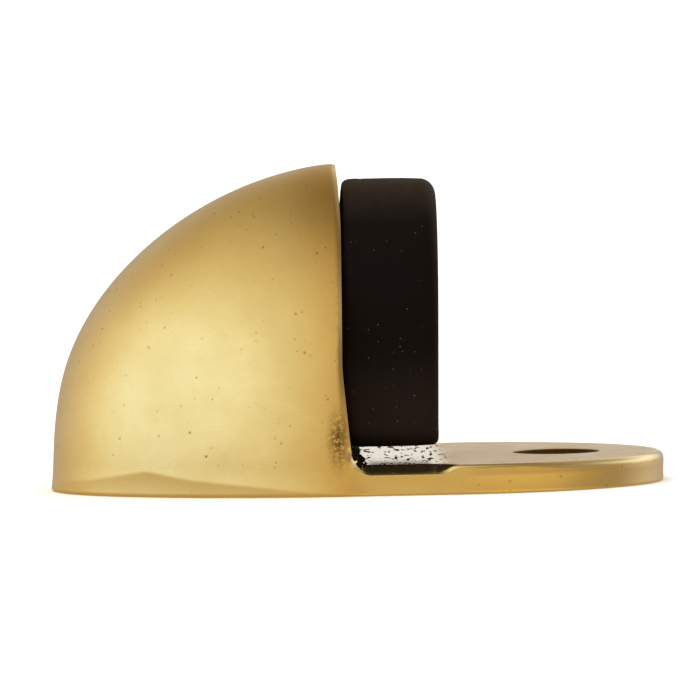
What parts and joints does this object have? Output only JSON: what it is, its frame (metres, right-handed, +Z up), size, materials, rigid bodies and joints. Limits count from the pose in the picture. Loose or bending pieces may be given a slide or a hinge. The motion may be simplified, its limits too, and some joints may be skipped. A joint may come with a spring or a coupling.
{
  "type": "door stop",
  "caption": "Oval floor-mounted door stop: hollow brass quarter-dome shield on a flat base tongue, with an arched rubber buffer bolted to its face.",
  "frame": {"origin": "on the floor plane, below the middle of the length and the width", "axes": "+X from the shield to the tip of the base tongue, so that the buffer faces +X; +Z up from the floor; +Y across the width"},
  "size_m": [0.076, 0.046, 0.04],
  "materials": {
    "cast_brass": "polished by hand, satin, unlacquered",
    "black_rubber": "moulded, matt, slightly pitted",
    "plated_steel": "bright zinc plating",
    "spring_steel": "phosphated and oiled"
  },
  "bodies": {
    "root": {"body_casting": "cast_brass", "rubber_buffer": "black_rubber", "buffer_screw": "plated_steel", "flat_washer": "plated_steel", "spring_washer": "spring_steel", "hex_nut": "plated_steel"}
  },
  "joints": []
}
